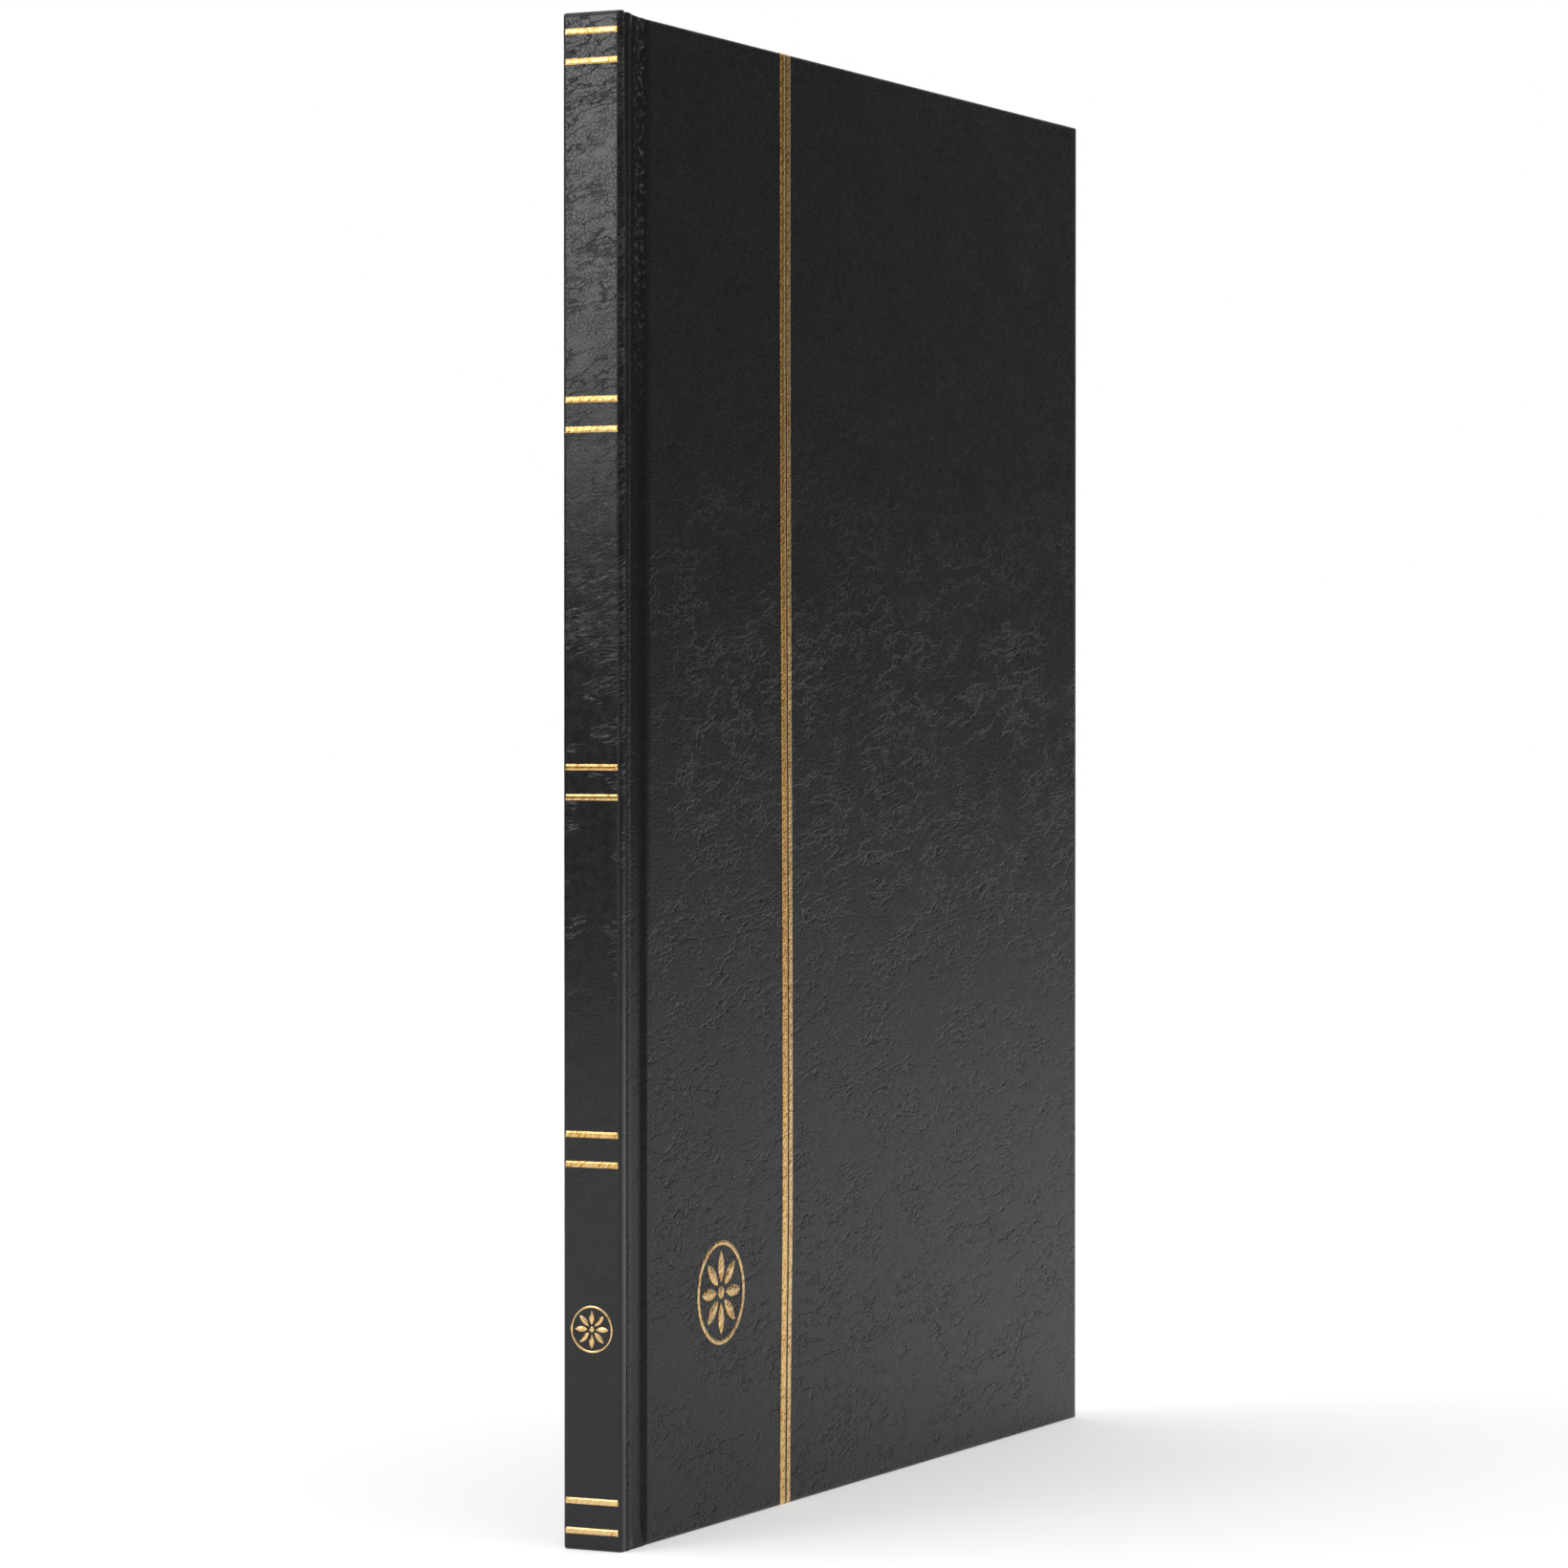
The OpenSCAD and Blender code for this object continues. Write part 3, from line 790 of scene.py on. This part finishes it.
def buildRosette(node, middle, diameter, onSkin, body, material):
    points, faces, uvs = [], [], []
    for patchPoints, patchFaces in rosetteOutline():
        start = len(points)
        for x, y in patchPoints:
            point, uv = onSkin(middle[0] + x * diameter, middle[1] + y * diameter)
            points.append(point)
            uvs.append(uv)
        faces += shifted(patchFaces, start)
    obj = thicken(meshObject(node + "_foil", points, faces, uvs, material), foilThick)
    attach(obj, body)
    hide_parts(node)
    return obj


box = edgesOf("front_rosette")
buildRosette("front_rosette", (middleOf(box, "d"), middleOf(box, "z")), widthOf(box, "d"),
             onCover, "front_cover", thinFoil)
box = edgesOf("spine_rosette")
buildRosette("spine_rosette", (0.0, middleOf(box, "z")), widthOf(box, "y"), onSpine, "binding", spineFoil)
print("gold foil laid")

# each paper: its two colours, the size of its fibres, its roughness and how deep its bumps are
paperLooks = {
    "greyboard": ((0.2, 0.185, 0.16), (0.3, 0.28, 0.25), 0.8, 0.85, 0.1),
    "endpaper": ((0.011, 0.011, 0.012), (0.022, 0.022, 0.0235), 0.5, 0.66, 0.05),
    "lining_paper": ((0.36, 0.29, 0.2), (0.43, 0.36, 0.26), 0.6, 0.8, 0.05),
    "sewn_paper": ((0.62, 0.59, 0.5), (0.76, 0.73, 0.64), 0.3, 0.75, 0.08),
    "page_card": ((0.79, 0.765, 0.69), (0.84, 0.82, 0.75), 0.45, 0.62, 0.025),
    "thread": ((0.72, 0.7, 0.62), (0.85, 0.83, 0.77), 0.15, 0.65, 0.05),
}


def paperMaterial(name, partSpace=False):
    low, high, size, rough, bump = paperLooks[name]
    material, tree, shader = newMaterial(name)
    where = partMap(tree) if partSpace else skinMap(tree)
    fibres = noiseOf(tree, scaled(tree, where, (1 / size, 0.45 / size, 1 / size), 0.6), 1.0, 4.0, 0.6, 0.6)
    cloud = noiseOf(tree, where, 1 / 28.0, 3.0, 0.5)
    tone = plus(tree, times(tree, remap(tree, fibres, 0.3, 0.7), 0.7), times(tree, cloud, 0.3))
    feed(tree, shader, {
        "Base Color": colours(tree, tone, [(0.1, low), (0.9, high)]),
        "Roughness": remap(tree, fibres, 0.3, 0.7, rough + 0.06, rough - 0.06),
        "Normal": bumpFrom(tree, fibres, bump)})
    shader.inputs["Specular IOR Level"].default_value = 0.3
    return material


boardMaterial = paperMaterial("greyboard", partSpace=True)
blackPaper = paperMaterial("endpaper")
liningMaterial = paperMaterial("lining_paper", partSpace=True)
blockMaterial = paperMaterial("sewn_paper", partSpace=True)
cardMaterial = paperMaterial("page_card")
clothLook = {"pitch": 0.55, "bump": 0.06, "low": (0.6, 0.57, 0.48), "high": (0.8, 0.78, 0.7)}


def clothMaterial(name, partSpace=False):
    material, tree, shader = newMaterial(name)
    where = partMap(tree) if partSpace else skinMap(tree)
    uneven = noiseOf(tree, where, 1 / 1.7, 3.0, 0.6)
    weave = []
    for direction in ("X", "Y"):
        wave = addNode(tree, "TexWave", {"bands_direction": direction}, {
            "Vector": where, "Scale": 0.314 / clothLook["pitch"], "Distortion": 0.6, "Detail": 2.0})
        weave.append(wave.outputs["Fac"])
    threads = times(tree, plus(tree, weave[0], weave[1]), 0.5)
    tone = plus(tree, times(tree, threads, 0.6), times(tree, uneven, 0.4))
    feed(tree, shader, {
        "Base Color": colours(tree, tone, [(0.15, clothLook["low"]), (0.85, clothLook["high"])]),
        "Roughness": remap(tree, uneven, 0.3, 0.7, 0.9, 0.76),
        "Normal": bumpFrom(tree, threads, clothLook["bump"])})
    return material


linenMaterial = clothMaterial("linen")
superMaterial = clothMaterial("mull_cloth", partSpace=True)

# cover: how much of the light a clear piece stops; weld: height of the welded foot of a pocket
filmLook = {
    "colour": (0.95, 0.97, 0.98), "roughLow": 0.04, "roughHigh": 0.2,
    "cover": 0.1, "weldCover": 0.32, "weld": 1.1,
}
glassineLook = {
    "low": (0.84, 0.84, 0.79), "high": (0.93, 0.93, 0.89), "coverLow": 0.5, "coverHigh": 0.68,
}


def clearFilm(name, look):
    material, tree, shader = newMaterial(name)
    where = skinMap(tree)
    fine = noiseOf(tree, where, 1 / 7.0, 3.0, 0.5)
    scuffs = noiseOf(tree, stretch(tree, where, 6.0, 0.5), 1.0, 3.0, 0.6)
    # each pocket is welded along its foot
    welded = remap(tree, axisOf(tree, where, 1), look["weld"], look["weld"] + 0.15, 1.0, 0.0)
    rough = combine(tree, "MAXIMUM", remap(tree, scuffs, 0.45, 0.8, look["roughLow"], look["roughHigh"]),
                    times(tree, welded, 0.5))
    stopped = plus(tree, remap(tree, welded, 0.0, 1.0, look["cover"], look["weldCover"]),
                   remap(tree, scuffs, 0.55, 0.9, 0.0, 0.06))
    feed(tree, shader, {"Roughness": rough, "Alpha": stopped, "Normal": bumpFrom(tree, fine, 0.1)})
    shader.inputs["Base Color"].default_value = (*look["colour"], 1)
    shader.inputs["Specular IOR Level"].default_value = 1.0
    return material


def glassinePaper(name, look):
    material, tree, shader = newMaterial(name)
    where = skinMap(tree)
    fibres = noiseOf(tree, stretch(tree, where, 0.9, 3.5, 0.5), 1.0, 4.0, 0.65)
    cloud = noiseOf(tree, where, 1 / 16.0, 4.0, 0.6)
    feed(tree, shader, {
        "Base Color": colours(tree, cloud, [(0.3, look["low"]), (0.7, look["high"])]),
        "Roughness": remap(tree, fibres, 0.3, 0.7, 0.36, 0.5),
        "Alpha": remap(tree, fibres, 0.3, 0.75, look["coverLow"], look["coverHigh"]),
        "Normal": bumpFrom(tree, cloud, 0.2)})
    return material


filmMaterial = clearFilm("strip_film", filmLook)
glassineMaterial = glassinePaper("glassine", glassineLook)

bandLook = {"stripe": 0.62, "light": (0.78, 0.76, 0.68), "dark": (0.02, 0.02, 0.022)}


def stripedThread(name, look):
    material, tree, shader = newMaterial(name)
    where = skinMap(tree)
    turns = combine(tree, "FRACT", times(tree, axisOf(tree, where, 0), 0.5 / look["stripe"]))
    fibres = noiseOf(tree, stretch(tree, where, 0.06, 0.5, 0.2), 1.0, 3.0, 0.6)
    tone = plus(tree, combine(tree, "GREATER_THAN", turns, 0.5), times(tree, minus(tree, fibres, 0.5), 0.35))
    feed(tree, shader, {
        "Base Color": colours(tree, tone, [(0.2, look["dark"]), (0.8, look["light"])]),
        "Roughness": remap(tree, fibres, 0.3, 0.7, 0.7, 0.5),
        "Normal": bumpFrom(tree, fibres, 0.04)})
    return material


bandMaterial = stripedThread("head_band_thread", bandLook)
threadMaterial = paperMaterial("thread", partSpace=True)

# the solids that are carried over, most of them inside the case
slotMaterials = {
    "greyboard": boardMaterial, "endpaper": blackPaper, "page_card": cardMaterial,
    "linen": superMaterial, "lining_paper": liningMaterial, "thread": threadMaterial,
    "strip_film": filmMaterial, "glassine": glassineMaterial,
    "leatherette": coverSkin, "gold_foil": thinFoil,
}
for part in frame["record"]["subparts"]:
    if part["node"] in nodes:
        dress(part["node"], slotMaterials[part["material_slot"]])
dress("sewn_block", blockMaterial)

sheetStep = {"bend": 0.4, "flat": 12.0, "corner": 6}       # spacing of points, and points round a corner


def sheetPiece(name, edges, material, body, yAt=None, corner=0.0, bend=None, fineTo=None):
    low, high = edges["dLow"], edges["dHigh"]
    middle = middleOf(edges, "y")
    yAt = yAt or (lambda d: middle)
    fineTo = fineTo or (bend[1] + 1 if bend else low)
    columns = spread(low, fineTo, sheetStep["bend"]) if fineTo > low else [low]
    columns += spread(columns[-1], high - corner, sheetStep["flat"])[1:]
    rows = spread(edges["zLow"] + corner, edges["zHigh"] - corner, sheetStep["flat"])
    if corner:
        turn = [math.pi / 2 * i / sheetStep["corner"] for i in range(1, sheetStep["corner"] + 1)]
        columns += [high - corner + corner * math.sin(a) for a in turn]
        rows = [edges["zLow"] + corner - corner * math.sin(a) for a in turn[::-1]] + rows
        rows += [edges["zHigh"] - corner + corner * math.sin(a) for a in turn]
    points, uvs = [], []
    for z in rows:
        past = max(0.0, edges["zLow"] + corner - z, z - edges["zHigh"] + corner)
        keep = math.sqrt(max(0.0, corner ** 2 - past ** 2)) / corner if corner else 1.0
        for d in columns:
            newD = d if d <= high - corner else high - corner + (d - high + corner) * max(keep, 0.02)
            points.append(place(newD, yAt(newD), z))
            uvs.append((newD * mm, z * mm))
    obj = meshObject(name, points, gridFaces(len(rows), len(columns)), uvs, material)
    thicken(obj, widthOf(edges, "y"), 0.0)
    if bend:
        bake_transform(obj)
    else:
        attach(obj, body)
    return obj


endpaperShape = {"start": 4.75, "startDepth": 3.45, "jointStart": 6.3, "jointEnd": 11.5, "boardEdge": 12.2,
                 "bend": (4.8, 6.6)}
pageShape = {"foldStart": 4.6, "bendEnd": 9.0, "corner": 3.0}
pageFold = (pageShape["foldStart"], pageShape["bendEnd"])


def endpaperDepth(d, inside, joint):
    e = endpaperShape
    onJoint = e["startDepth"] + (joint - e["startDepth"]) * smooth(e["start"], e["jointStart"], d)
    return onJoint + (inside - onJoint) * smooth(e["jointEnd"], e["boardEdge"], d)


def buildEndpapers(name, side):
    pasted, lining = edgesOf(name + "_pastedown"), edgesOf(name + "_joint_lining")
    inside = abs(middleOf(pasted, "y"))
    joint = min(abs(lining["yLow"]), abs(lining["yHigh"])) + 0.07
    edges = dict(pasted, dLow=endpaperShape["start"])
    sheet = sheetPiece(name + "_endpaper", edges, blackPaper, name + "_cover",
                       yAt=lambda d: side * endpaperDepth(d, inside, joint),
                       bend=endpaperShape["bend"], fineTo=13.0)
    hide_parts(name + "_pastedown", name + "_joint_lining")
    edges = dict(edgesOf(name + "_flyleaf"), dLow=pageShape["foldStart"])
    flyleaf = sheetPiece(name + "_free_endpaper", edges, blackPaper, name + "_flyleaf",
                         corner=pageShape["corner"], bend=pageFold)
    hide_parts(name + "_flyleaf")


buildEndpapers("front", -1)
buildEndpapers("rear", 1)

stripShape = {"count": 9, "gap": 2.0, "film": 0.05, "footLift": 0.035, "headLift": 0.05}
linenShape = {"thickness": 0.14, "lapThickness": 0.07, "lapBefore": 1.0}


def buildPage(body):
    card, guard = edgesOf(body + "_card"), edgesOf(body + "_guard")
    middle = middleOf(card, "y")
    page = sheetPiece(body + "_page", card, cardMaterial, body, corner=pageShape["corner"])
    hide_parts(body + "_card")
    # the linen is one strip at the fold and laps over both faces of the card
    half = linenShape["thickness"] / 2
    hinge = dict(guard, dLow=pageShape["foldStart"], dHigh=card["dLow"] + 0.1,
                 yLow=middle - half, yHigh=middle + half)
    cloth = [sheetPiece(body + "_linen", hinge, linenMaterial, body, bend=pageFold)]
    half = linenShape["lapThickness"] / 2
    lapStart = card["dLow"] - linenShape["lapBefore"]
    for lap, side in (("front", -1), ("rear", 1)):
        outer = middle + side * (guard["yHigh"] - middle - half)
        edges = dict(guard, dLow=lapStart, yLow=outer - half, yHigh=outer + half)

        def rise(d):
            return middle + (outer - middle) * smooth(lapStart - 0.3, lapStart + 1.1, d)

        cloth.append(sheetPiece(body + "_linen_" + lap, edges, linenMaterial, body,
                                yAt=rise, fineTo=card["dLow"] + 0.5))
    for piece in cloth:
        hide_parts(body + "_guard")


def buildPockets(body):
    # pockets of clear film on both pages, welded at the foot and open at the top
    card, strips = edgesOf(body + "_card"), edgesOf(body + "_strips")
    middle, faceAt = middleOf(card, "y"), widthOf(card, "y") / 2
    points, faces, uvs = [], [], []
    pitch = (widthOf(strips, "z") + stripShape["gap"]) / stripShape["count"]
    tall = pitch - stripShape["gap"]
    across = spread(strips["dLow"], strips["dHigh"], 25.0)
    for side in (-1, 1):
        for i in range(stripShape["count"]):
            start = len(points)
            low = strips["zLow"] + i * pitch
            for share in (0.0, 0.03, 0.06, 0.35, 0.7, 1.0):
                lift = stripShape["footLift"]
                lift += (stripShape["headLift"] - lift) * smooth(0.03, 0.4, share)
                for d in across:
                    points.append(place(d, middle + side * (faceAt + lift), low + tall * share))
                    uvs.append((d * mm, tall * share * mm))
            faces += shifted(gridFaces(6, len(across), flip=side > 0), start)
    pockets = meshObject(body + "_pockets", points, faces, uvs, filmMaterial)
    thicken(pockets, stripShape["film"], 0.0)
    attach(pockets, body)
    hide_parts(body + "_strips")


def buildInterleaf(body):
    edges = dict(edgesOf(body), dLow=pageShape["foldStart"])
    sheet = sheetPiece(body + "_sheet", edges, glassineMaterial, body,
                       corner=pageShape["corner"], bend=pageFold)
    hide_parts(body)


for k in range(1, 9):
    buildPage(f"leaf_{k}")
    buildPockets(f"leaf_{k}")
for k in range(1, 8):
    buildInterleaf(f"interleaf_{k}")
print("leaves, flyleaves and endpapers made")

cordShape = {"ridge": 0.62, "depth": 0.13, "around": 14}


def buildHeadBand(node):
    edges = edgesOf(node)
    centre = (middleOf(edges, "d"), middleOf(edges, "z"))
    radius = (widthOf(edges, "d") / 2, widthOf(edges, "z") / 2)
    count = cordShape["around"]
    stations = spread(edges["yLow"], edges["yHigh"], 0.1)
    points, uvs = [], []
    for y in stations:
        hollow = cordShape["depth"] * (0.5 + 0.5 * math.cos(2 * math.pi * y / cordShape["ridge"]))
        for i in range(count):
            a = 2 * math.pi * i / count
            points.append(place(centre[0] + (radius[0] - hollow) * math.cos(a), y,
                                centre[1] + (radius[1] - hollow) * math.sin(a)))
            uvs.append((y * mm, a * radius[0] * mm))
    faces = []
    for r in range(len(stations) - 1):
        for i in range(count):
            a, b = r * count + i, r * count + (i + 1) % count
            faces.append((a, a + count, b + count, b))
    faces.append(tuple(range(count)))
    faces.append(tuple(reversed([len(points) - count + i for i in range(count)])))
    cord = meshObject(node + "_cord", points, faces, uvs, bandMaterial)
    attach(cord, "binding")
    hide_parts(node)


buildHeadBand("head_band")
buildHeadBand("tail_band")
print("head and tail bands made")

cameraSet = {"target": (-0.02845, 0.0, 0.15125), "azimuth": -63.845, "elevation": 0.67,
             "distance": 1.135, "lens": 122.57}


def placeCamera():
    c = cameraSet
    a, e = math.radians(c["azimuth"]), math.radians(c["elevation"])
    back = Vector((math.sin(a) * math.cos(e), -math.cos(a) * math.cos(e), math.sin(e)))
    data = bpy.data.cameras.new("camera")
    data.lens = c["lens"]
    data.sensor_width = 36.0
    camera = bpy.data.objects.new("camera", data)
    camera.location = Vector(c["target"]) + back * c["distance"]
    camera.rotation_euler = back.to_track_quat("Z", "Y").to_euler()
    bpy.context.scene.collection.objects.link(camera)
    bpy.context.scene.camera = camera


placeCamera()

studio = {
    "floorColour": (0.82, 0.82, 0.82), "floorLift": 0.3, "floorReach": 8.0, "ambient": 0.86,
    "flagColour": (0.1, 0.1, 0.1),
    # each flag stands on a line from one point to another, between two heights
    "flags": {
        "flag_right": ((0.45, -2.1), (1.5, -0.16), 0.05, 2.2),
        "flag_left": ((-1.37, 0.37), (-0.7, 1.7), 0.03, 0.3),
        "flag_corner": ((-1.96, 0.42), (-1.15, -1.64), 0.22, 0.8),
        "flag_front": ((-1.15, -1.64), (0.45, -2.1), 0.0, 0.8),
        "flag_rear": ((-1.35, 1.5), (1.4, 1.7), 0.0, 1.2),
    },
    # each lamp: where it stands, what it points at, its size and its power
    "lamps": {
        "key": ((-1.0, 0.8, 1.7), (0, 0, 0.1), (1.4, 1.4), 8),
        "left": ((-1.4, 0.69, 0.5), (-0.1, 0, 0.29), (0.5, 0.5), 3.4),
    },
}


def seenDirectly(tree):
    path = addNode(tree, "LightPath")
    either = combine(tree, "MAXIMUM", path.outputs["Is Camera Ray"], path.outputs["Is Glossy Ray"])
    return combine(tree, "MAXIMUM", either, path.outputs["Is Transmission Ray"])


def plainSheet(name, corners):
    material, tree = bareMaterial(name)
    sheet = meshObject(name, corners, [(0, 1, 2, 3)], None, material)
    return sheet, tree


def buildFloor():
    far = studio["floorReach"]
    corners = [(-far, -far, 0), (far, -far, 0), (far, far, 0), (-far, far, 0)]
    tree = plainSheet("floor", corners)[1]
    diffuse = addNode(tree, "BsdfDiffuse", None, {"Color": (*studio["floorColour"], 1)})
    glow = addNode(tree, "Emission", None, {
        "Strength": times(tree, seenDirectly(tree), studio["floorLift"])})
    both = addNode(tree, "AddShader", None, {0: diffuse.outputs[0], 1: glow.outputs[0]})
    addNode(tree, "OutputMaterial", None, {"Surface": both.outputs[0]})


def buildWorld():
    world = bpy.data.worlds.new("studio")
    bpy.context.scene.world = world
    world.use_nodes = True
    tree = world.node_tree
    tree.nodes.clear()
    ambient = addNode(tree, "Background", None, {"Color": (1, 1, 1, 1), "Strength": studio["ambient"]})
    white = addNode(tree, "Background", None, {"Color": (1, 1, 1, 1), "Strength": 1.0})
    mixed = addNode(tree, "MixShader", None, {0: seenDirectly(tree), 1: ambient.outputs[0],
                                              2: white.outputs[0]})
    addNode(tree, "OutputWorld", None, {"Surface": mixed.outputs[0]})


# a grey flag that only shows as a reflection in the album
def buildFlag(name, start, end, low, high):
    corners = [(*start, low), (*end, low), (*end, high), (*start, high)]
    flag, tree = plainSheet(name, corners)
    cloth = addNode(tree, "BsdfDiffuse", None, {"Color": (*studio["flagColour"], 1)})
    addNode(tree, "OutputMaterial", None, {"Surface": cloth.outputs[0]})
    flag.visible_camera = False
    flag.visible_diffuse = False
    flag.visible_shadow = False
    flag.visible_transmission = False


def softbox(name, location, lookAt, size, power):
    data = bpy.data.lights.new(name, "AREA")
    data.shape = "RECTANGLE"
    data.size, data.size_y = size
    data.energy = power
    light = bpy.data.objects.new(name, data)
    light.location = location
    light.rotation_euler = (Vector(location) - Vector(lookAt)).to_track_quat("Z", "Y").to_euler()
    bpy.context.scene.collection.objects.link(light)


buildFloor()
buildWorld()
for name, flag in studio["flags"].items():
    buildFlag(name, *flag)
for name, lamp in studio["lamps"].items():
    softbox(name, *lamp)
bpy.context.scene.view_settings.view_transform = "Standard"
print("camera and studio set")
